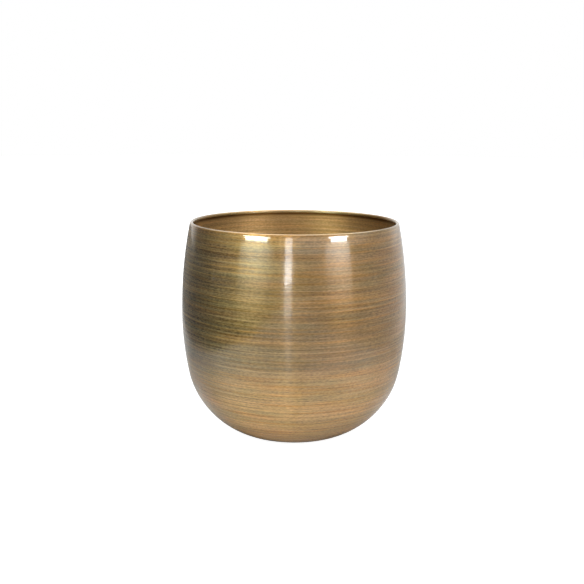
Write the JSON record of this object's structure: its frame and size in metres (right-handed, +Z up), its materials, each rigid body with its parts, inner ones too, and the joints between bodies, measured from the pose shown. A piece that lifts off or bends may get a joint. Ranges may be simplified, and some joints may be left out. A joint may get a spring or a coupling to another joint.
{
  "type": "cachepot",
  "caption": "Round spun-brass cachepot with a bellied wall, a rounded bowl base, an inward-rolled wired rim and small stick-on feet, for hiding a grow pot.",
  "frame": {"origin": "on the pot's axis, on the surface that its feet stand on", "axes": "+Z up along the pot's axis, out of its mouth; -Y faces the viewer of the picture; the feet stand at 45 degrees to X and Y"},
  "size_m": [0.24, 0.24, 0.229],
  "materials": {
    "lacquered_brass": "circumferentially brushed, antiqued and clear lacquered",
    "rim_wire_steel": "bright drawn wire",
    "foot_rubber": "matt moulded",
    "foot_adhesive": "double-sided adhesive film"
  },
  "bodies": {
    "root": {"pot_shell": "lacquered_brass", "rim_wire": "rim_wire_steel", "base_foot_1": "foot_rubber", "base_foot_2": "foot_rubber", "base_foot_3": "foot_rubber", "base_foot_4": "foot_rubber", "foot_adhesive_1": "foot_adhesive", "foot_adhesive_2": "foot_adhesive", "foot_adhesive_3": "foot_adhesive", "foot_adhesive_4": "foot_adhesive"}
  },
  "joints": []
}
